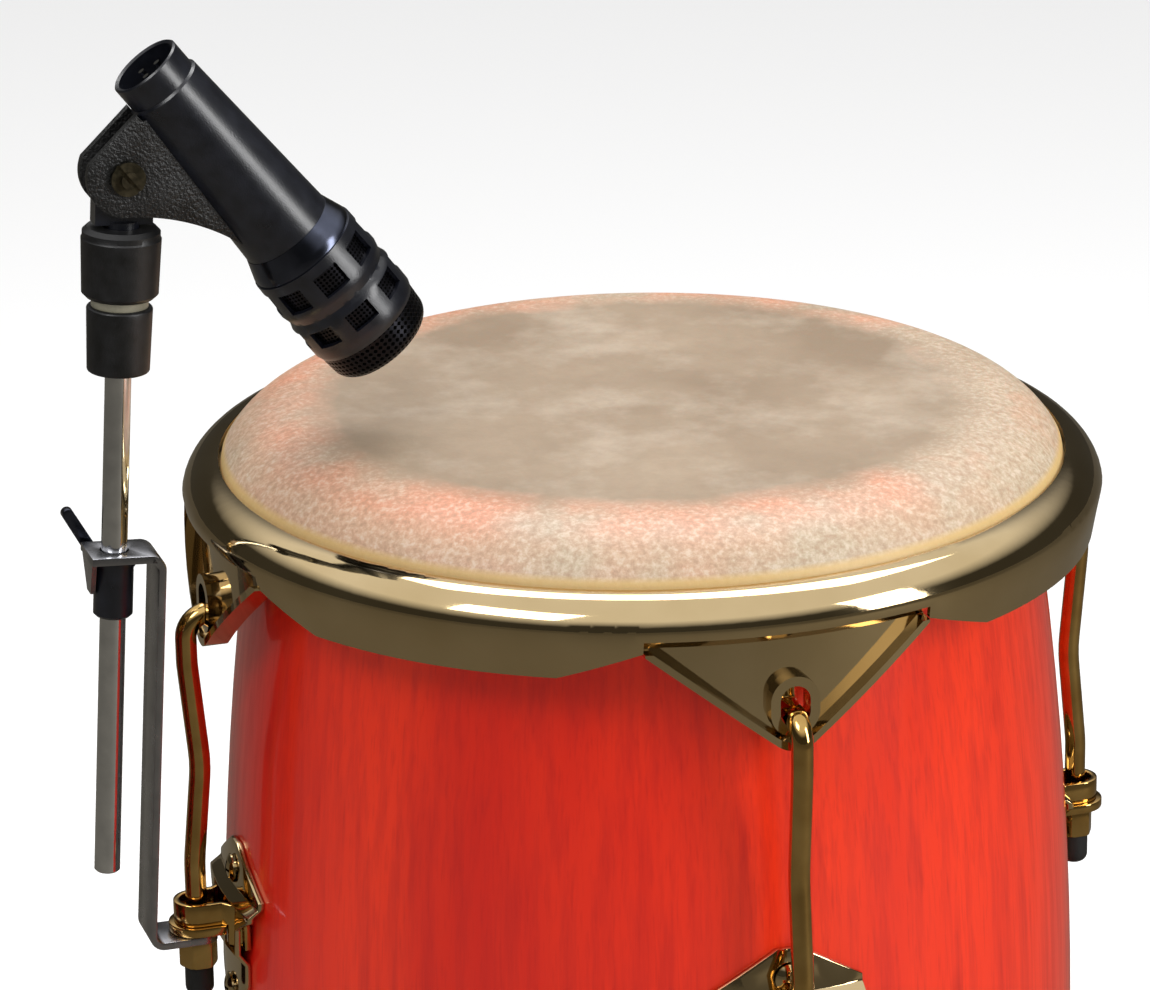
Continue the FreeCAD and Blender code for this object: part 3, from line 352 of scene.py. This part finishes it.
def makeRawhide():
    # pale hide: cloudy mottling on the flat, pink and orange freckles on the stretched collar
    look = hideLook
    material, tree, shader = newMaterial("rawhide", Subsurface_Weight=0.08, Subsurface_Scale=0.002)
    place = objectPlace(tree)
    cloud = noiseNode(tree, place, look["cloudScale"], 6, 0.6)
    blotch = noiseNode(tree, place, look["blotchScale"], 5, 0.62)
    pinkPatch = noiseNode(tree, place, look["pinkScale"], 4, 0.6)
    fine = noiseNode(tree, place, look["fineScale"], 5, 0.7)
    freckle = noiseNode(tree, place, look["freckleScale"], 4, 0.7)
    fibre = noiseNode(tree, stretched(tree, look["fibreStretch"]), look["fibreScale"], 4, 0.6)
    split = tree.nodes.new("ShaderNodeSeparateXYZ")
    tree.links.new(place, split.inputs[0])
    acrossFlat = mathNode(tree, "MULTIPLY", split.outputs["Y"], split.outputs["Y"])
    flat = mathNode(tree, "MULTIPLY", split.outputs["X"], split.outputs["X"])
    reach = mathNode(tree, "SQRT", mathNode(tree, "ADD", flat, acrossFlat))
    # the bands are rings round the axis, with an edge that wanders a little
    wander = mathNode(tree, "MULTIPLY", mathNode(tree, "SUBTRACT", blotch, 0.5), look["wander"])
    reach = mathNode(tree, "ADD", reach, wander)
    onCollar = rangeNode(tree, reach, *look["collarFrom"], 0.0, 1.0)
    onFoot = rangeNode(tree, reach, *look["footFrom"], 0.0, 1.0)
    atEdge = rangeNode(tree, split.outputs["Z"], *look["edgeHeights"], 0.0, 1.0)
    base = mixColour(tree, rangeNode(tree, cloud, 0.35, 0.65, 0, 1), look["dark"], look["light"])
    base = mixColour(tree, rangeNode(tree, blotch, 0.48, 0.7, 0, 0.6), base, look["blotch"])
    base = mixColour(tree, rangeNode(tree, fine, 0.42, 0.7, 0, 0.4), base, look["shadow"])
    pinkness = rangeNode(tree, pinkPatch, 0.42, 0.6, 0, 1)
    pink = mixColour(tree, pinkness, look["collar"], look["pink"])
    base = mixColour(tree, mathNode(tree, "MULTIPLY", onCollar, 0.7), base, pink)
    base = mixColour(tree, mathNode(tree, "MULTIPLY", onFoot, 0.55), base, look["foot"])
    spots = mathNode(tree, "MULTIPLY", rangeNode(tree, freckle, 0.5, 0.66, 0, 0.6), onCollar)
    base = mixColour(tree, spots, base, look["spot"])
    pale = mathNode(tree, "MULTIPLY", rangeNode(tree, freckle, 0.5, 0.34, 0, 0.5), onCollar)
    base = mixColour(tree, pale, base, look["pale"])
    base = mixColour(tree, mathNode(tree, "MULTIPLY", atEdge, 0.85), base, look["edge"])
    tree.links.new(base, shader.inputs["Base Color"])
    tree.links.new(rangeNode(tree, cloud, 0.3, 0.7, 0.42, 0.6), shader.inputs["Roughness"])
    grain = mathNode(tree, "ADD", fibre, mathNode(tree, "MULTIPLY", freckle, 0.5))
    addBump(tree, shader, grain, 0.18, 0.0006)
    return material


def makePerforated(name, dark, light, around, pitch, frameMatrix):
    # punched sheet; the pattern is laid round the microphone's own axis
    material, tree, shader = newMaterial(name, Metallic=1.0)
    placing = tree.nodes.new("ShaderNodeMapping")
    placing.vector_type = "POINT"
    inverse = frameMatrix.inverted()
    placing.inputs["Location"].default_value = inverse.to_translation()
    placing.inputs["Rotation"].default_value = inverse.to_euler("XYZ")
    tree.links.new(objectPlace(tree), placing.inputs["Vector"])
    holes = tree.nodes.new("ShaderNodeGroup")
    holes.node_tree = punchedHoles
    holes.inputs["Around"].default_value = around
    holes.inputs["Pitch"].default_value = pitch
    tree.links.new(placing.outputs["Vector"], holes.inputs["Vector"])
    hole = holes.outputs["Hole"]
    tree.links.new(mixColour(tree, hole, light, dark), shader.inputs["Base Color"])
    tree.links.new(rangeNode(tree, hole, 0, 1, 0.3, 0.85), shader.inputs["Roughness"])
    addBump(tree, shader, mathNode(tree, "SUBTRACT", 1.0, hole), 0.9, 0.0006)
    return material


def micFrame():
    # the microphone's axis, read from the middle of its socket to the middle of its nose
    def middle(node):
        low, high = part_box(node)
        return (Vector(low) + Vector(high)) / 2
    tail, nose = middle("mic_socket_barrel"), middle("mic_nose_mesh")
    ahead = (nose - tail).normalized()
    side = Vector((0, 0, 1)).cross(ahead).normalized()
    up = ahead.cross(side)
    turn = Matrix((side, up, ahead)).transposed().to_4x4()
    return Matrix.Translation(tail) @ turn


micMatrix = micFrame()
finishes = {
    "lacquer": makeLacquer(),
    "rawhide": makeRawhide(),
    "paleGold": metalFinish("paleGoldPlate", (0.56, 0.42, 0.22), (0.66, 0.51, 0.29), 0.07, 0.03, 22.0),
    "deepGold": metalFinish("deepGoldPlate", (0.46, 0.27, 0.08), (0.66, 0.43, 0.15), 0.1, 0.05, 70.0),
    "steel": metalFinish("satinSteel", (0.3, 0.3, 0.32), (0.46, 0.46, 0.49), 0.26, 0.1, 90.0, 0.05),
    "chrome": metalFinish("rodChrome", (0.66, 0.67, 0.69), (0.82, 0.83, 0.85), 0.07, 0.05, 120.0),
    "dullBrass": metalFinish("dullBrass", (0.05, 0.045, 0.03), (0.13, 0.11, 0.07), 0.4, 0.15, 300.0),
    "spacer": paintFinish("spacerNylon", (0.16, 0.15, 0.11), (0.26, 0.24, 0.17), 0.4, 0.1, 120.0, 0.1),
    "shoulderSteel": metalFinish("shoulderSteel", (0.05, 0.055, 0.075), (0.09, 0.1, 0.14),
                                 0.2, 0.06, 90.0),
    "satinBlack": paintFinish("satinBlack", (0.003, 0.0035, 0.006), (0.007, 0.008, 0.013), 0.3, 0.06,
                              140.0, 0.12, Coat_Weight=0.25, Coat_Roughness=0.2),
    "mattBlack": paintFinish("mattBlack", (0.003, 0.003, 0.003), (0.008, 0.008, 0.009),
                             0.42, 0.08, 150.0, 0.1),
    "pebbled": paintFinish("pebbledPlastic", (0.003, 0.003, 0.003), (0.01, 0.01, 0.01), 0.42, 0.1,
                           62.0, 0.7, 0.0012),
    "rubber": paintFinish("capRubber", (0.003, 0.003, 0.003), (0.011, 0.011, 0.011),
                          0.5, 0.1, 90.0, 0.25),
    "noseMesh": makePerforated("noseMesh", (0.002, 0.002, 0.002), (0.02, 0.02, 0.024),
                               58, 0.0021, micMatrix),
    "linerMesh": makePerforated("linerMesh", (0.002, 0.002, 0.002), (0.035, 0.035, 0.042),
                                76, 0.0015, micMatrix),
}
print("finishes made:", len(finishes))


# drum shell

shell = {"footRadius": 113, "bellyRadius": 161.5, "bellyHeight": 445, "neckRadius": 141.9,
         "neckHeight": 683.9, "wall": 11, "floor": 8.0, "round": 14, "lip": 6, "lipRun": 8,
         "outerSteps": 30, "edgeSteps": 7, "innerSteps": 15, "segments": 240, "smoothBelow": 38}


def bowedRadius(height, trim=0.0):
    # two long arcs that meet level at the belly
    end = shell["footRadius"] if height < shell["bellyHeight"] else shell["neckRadius"]
    endHeight = shell["floor"] if height < shell["bellyHeight"] else shell["neckHeight"]
    rise = abs(endHeight - shell["bellyHeight"])
    drop = shell["bellyRadius"] - end
    bow = (rise * rise + drop * drop) / (2 * drop)
    offset = height - shell["bellyHeight"]
    return shell["bellyRadius"] - (bow - math.sqrt(bow * bow - offset * offset)) - trim


def buildShell():
    span = shell["neckHeight"] - shell["floor"]
    steps = shell["outerSteps"]
    heights = [shell["floor"] + span * step / steps for step in range(steps + 1)]
    outer = [(bowedRadius(height), height) for height in heights]
    edgeCentre = (shell["neckRadius"] - shell["round"], shell["neckHeight"])
    top = arcPoints(edgeCentre, shell["round"], 12, 90, shell["edgeSteps"])
    innerTop = top[-1][1] - shell["lip"]
    fall = innerTop - shell["lipRun"] - shell["floor"]
    inner = []
    for step in range(shell["innerSteps"] + 1):
        height = innerTop - shell["lipRun"] - fall * step / shell["innerSteps"]
        inner.append((bowedRadius(min(height, shell["neckHeight"]), shell["wall"]), height))
    profile = outer + top + [(top[-1][0], innerTop)] + inner
    piece = turnProfile("shellBody", profile, shell["segments"], closed=True)
    makeActive(piece)
    bpy.ops.object.shade_smooth_by_angle(angle=math.radians(shell["smoothBelow"]))
    settle(piece, "shellBody", finishes["lacquer"], bodyOf["shell_staves"])
    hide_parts("shell_staves")


# drumhead

head = {"top": 700.3, "flat": 122.4, "crown": 140.8, "crownHeight": 696.3, "crownRound": 44.2,
        "collar": 155, "collarFoot": 683.2, "collarRound": 30.6, "hoop": 160.6, "hoopHeight": 674,
        "hoopWire": 4.2, "skin": 1.5, "flatRings": (4, 40, 80, 110), "crownSteps": 9, "collarSteps": 8,
        "lapSteps": 10, "segments": 256, "smoothBelow": 50}


def bulge(start, end, radius, count):
    # points of an arc that swells outwards and upwards between two places on a profile
    chord = Vector(end) - Vector(start)
    half = chord.length / 2
    outwards = Vector((-chord.y, chord.x)).normalized()
    centre = (Vector(start) + Vector(end)) / 2 - outwards * math.sqrt(radius * radius - half * half)
    first = math.degrees(math.atan2(start[1] - centre.y, start[0] - centre.x))
    last = math.degrees(math.atan2(end[1] - centre.y, end[0] - centre.x))
    return arcPoints(centre, radius, first, last, count)


def buildHead():
    crown = (head["crown"], head["crownHeight"])
    foot = (head["collar"], head["collarFoot"])
    profile = [(radius, head["top"]) for radius in head["flatRings"]]
    profile += bulge((head["flat"], head["top"]), crown, head["crownRound"], head["crownSteps"])
    profile += bulge(crown, foot, head["collarRound"], head["collarSteps"])[1:]
    # the skin's hidden end laps under the flesh hoop
    profile.append((head["hoop"] - head["hoopWire"] - 0.2, head["hoopHeight"] + 3))
    profile += arcPoints((head["hoop"], head["hoopHeight"]), head["hoopWire"], 180, 360, head["lapSteps"])
    piece = turnProfile("drumHead", profile, head["segments"])
    fillLoop(piece, head["top"])
    wall = piece.modifiers.new("skin", "SOLIDIFY")
    wall.thickness = head["skin"] * mm
    wall.offset = -1
    applyModifiers(piece)
    bpy.ops.object.shade_smooth_by_angle(angle=math.radians(head["smoothBelow"]))
    settle(piece, "drumHead", finishes["rawhide"], None)
    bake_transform(piece)
    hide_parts("head_top", "head_collar", "head_skirt")


# hardware: each carried-over node is welded and smoothed, and the nodes listed in wornEdges are given a
# small worn edge

hardware = {
    "paleGold": {"nodes": ["rim_ring", "rim_ears", "side_plates", "plate_screws_upper",
                           "plate_screws_lower"],
                 "slot": "gold_plate"},
    "deepGold": {"nodes": ["tuning_hooks", "u_straps", "saddle_washers", "lug_nut_front", "lug_nut_right",
                           "lug_nut_back", "lug_nut_left"], "slot": "gold_plate"},
    "steel": {"nodes": ["flesh_hoop", "screw_washers_upper", "screw_washers_lower", "screw_nuts_upper",
                        "screw_nuts_lower", "mic_bracket"], "slot": "bare_steel"},
    "shoulderSteel": {"nodes": ["mic_shoulder_ring", "mic_clamp_lever"], "slot": "bare_steel"},
    "chrome": {"nodes": ["mic_rod", "mic_socket_pins"], "slot": "chrome"},
    "spacer": {"nodes": ["mic_spacer_ring"], "slot": "brass"},
    "dullBrass": {"nodes": ["mic_pivot_screw", "mic_pivot_nut"], "slot": "brass"},
    "satinBlack": {"nodes": ["mic_tube", "mic_socket_barrel", "mic_grille_frame", "mic_clamp_collar",
                             "mic_swivel_neck"], "slot": "black_paint"},
    "mattBlack": {"nodes": ["mic_lock_knob", "mic_socket_insert", "mic_capsule", "mic_rod_sleeve"],
                  "slot": "black_plastic"},
    "pebbled": {"nodes": ["mic_clip_cheeks"], "slot": "black_plastic"},
    "rubber": {"nodes": ["foot_rubber", "hook_cap_front", "hook_cap_right", "hook_cap_back", "hook_cap_left",
                         "mic_capsule_mount"], "slot": "black_rubber"},
    "noseMesh": {"nodes": ["mic_nose_mesh"], "slot": "black_paint"},
    "linerMesh": {"nodes": ["mic_grille_liner"], "slot": "bare_steel"},
}
wornEdges = {"side_plates": 0.35, "u_straps": 0.4, "saddle_washers": 0.5, "mic_bracket": 0.3,
             "mic_clamp_lever": 0.5, "mic_clip_cheeks": 0.5, "lug_nut_front": 0.3, "lug_nut_right": 0.3,
             "lug_nut_back": 0.3, "lug_nut_left": 0.3}
hardwareEdges = {"smoothBelow": 34, "wearAbove": 40, "wearSteps": 2}  # angles in degrees


def dressNode(nodeName, finish):
    source = nodes[nodeName]
    makeActive(source)
    source.hide_set(False)
    bpy.ops.object.duplicate(linked=False)
    piece = bpy.context.object
    piece.parent = None
    makeActive(piece)
    bpy.ops.object.mode_set(mode="EDIT")
    bpy.ops.mesh.select_all(action="SELECT")
    bpy.ops.mesh.remove_doubles(threshold=weldDistance)
    bpy.ops.object.mode_set(mode="OBJECT")
    if piece.data.has_custom_normals:
        bpy.ops.mesh.customdata_custom_splitnormals_clear()
    if nodeName in wornEdges:
        edge = piece.modifiers.new("wornEdge", "BEVEL")
        edge.width = wornEdges[nodeName] * mm
        edge.segments = hardwareEdges["wearSteps"]
        edge.limit_method = "ANGLE"
        edge.angle_limit = math.radians(hardwareEdges["wearAbove"])
        edge.use_clamp_overlap = True
        applyModifiers(piece)
    bpy.ops.object.shade_smooth_by_angle(angle=math.radians(hardwareEdges["smoothBelow"]))
    settle(piece, nodeName + ".dressed", finish, bodyOf[nodeName])
    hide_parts(nodeName)


def buildHardware():
    for finishName, group in hardware.items():
        for nodeName in group["nodes"]:
            dressNode(nodeName, finishes[finishName])
    print("hardware dressed")


# floor, light and camera

studio = {"wall": (0.05, 0.048, 0.042), "ceiling": (1.0, 1.0, 1.0), "floor": (0.97, 0.97, 0.97),
          "floorInMetal": (0.12, 0.11, 0.09), "backdrop": (1.0, 1.0, 1.0),
          "floorSize": 60.0, "cameraHeight": 1.3271, "cameraBack": 1.8847, "yaw": -0.755, "pitch": 19.431,
          "roll": -0.944, "lens": 168.55, "sensor": 36.0, "farthest": 200, "lampAim": (0, 0, 0.6),
          "wallTop": 0.34, "ceilingFrom": 0.62}
lamps = {
    "keyPanel": {"at": (-1.2, -1.6, 2.6), "size": (1.2, 0.9), "power": 24},
    "rightPanel": {"at": (2.0, -1.1, 1.4), "size": (0.7, 1.6), "power": 36},
    "topPanel": {"at": (0.1, 0.9, 2.6), "size": (1.8, 0.9), "power": 30},
}


def buildStudio():
    deselectAll()
    bpy.ops.mesh.primitive_plane_add(size=studio["floorSize"], location=(0, 0, 0))
    floor = bpy.context.object
    floor.name = "studioFloor"
    material, tree, shader = newMaterial("paleFloor", Roughness=0.8, Specular_IOR_Level=0.1)
    mirrored = tree.nodes.new("ShaderNodeLightPath").outputs["Is Glossy Ray"]
    # the floor looks dark in the polished metal, as a deep room would
    floorColour = mixColour(tree, mirrored, studio["floor"], studio["floorInMetal"])
    tree.links.new(floorColour, shader.inputs["Base Color"])
    floor.data.materials.append(material)
    world = bpy.data.worlds.new("studioWorld")
    bpy.context.scene.world = world
    world.use_nodes = True
    tree = world.node_tree
    split = tree.nodes.new("ShaderNodeSeparateXYZ")
    tree.links.new(tree.nodes.new("ShaderNodeTexCoord").outputs["Generated"], split.inputs[0])
    height = split.outputs["Z"]
    # a dim room: dark walls round a brighter ceiling, while the backdrop itself is white
    ceiling = rangeNode(tree, height, studio["wallTop"], studio["ceilingFrom"], 0.0, 1.0)
    walls = mixColour(tree, ceiling, studio["wall"], studio["ceiling"])
    seen = tree.nodes.new("ShaderNodeLightPath").outputs["Is Camera Ray"]
    roomColour = mixColour(tree, seen, walls, studio["backdrop"])
    tree.links.new(roomColour, tree.nodes["Background"].inputs["Color"])
    tree.nodes["Background"].inputs["Strength"].default_value = 1.0
    aim = Vector(studio["lampAim"])
    for name, lamp in lamps.items():
        data = bpy.data.lights.new(name, "AREA")
        data.shape = "RECTANGLE"
        data.size, data.size_y = lamp["size"]
        data.energy = lamp["power"]
        item = bpy.data.objects.new(name, data)
        bpy.context.scene.collection.objects.link(item)
        item.location = lamp["at"]
        item.rotation_euler = (aim - Vector(lamp["at"])).to_track_quat("-Z", "Y").to_euler()


def buildCamera():
    yaw, pitch, roll = (math.radians(studio[key]) for key in ("yaw", "pitch", "roll"))
    ahead = Vector((math.sin(yaw) * math.cos(pitch), math.cos(yaw) * math.cos(pitch), -math.sin(pitch)))
    right = Vector((math.cos(yaw), -math.sin(yaw), 0))
    up = right.cross(ahead)
    tiltedRight = right * math.cos(roll) + up * math.sin(roll)
    tiltedUp = up * math.cos(roll) - right * math.sin(roll)
    turn = Matrix((tiltedRight, tiltedUp, -ahead)).transposed()
    data = bpy.data.cameras.new("studioCamera")
    data.sensor_width = studio["sensor"]
    data.lens = studio["lens"]
    data.clip_end = studio["farthest"]
    camera = bpy.data.objects.new("studioCamera", data)
    bpy.context.scene.collection.objects.link(camera)
    stand = Matrix.Translation((0, -studio["cameraBack"], studio["cameraHeight"]))
    camera.matrix_world = stand @ turn.to_4x4()
    bpy.context.scene.camera = camera


buildShell()
print("shell turned")
buildHead()
print("head made")
buildHardware()
buildStudio()
buildCamera()
bpy.context.scene.view_settings.view_transform = "Standard"
print("studio ready")
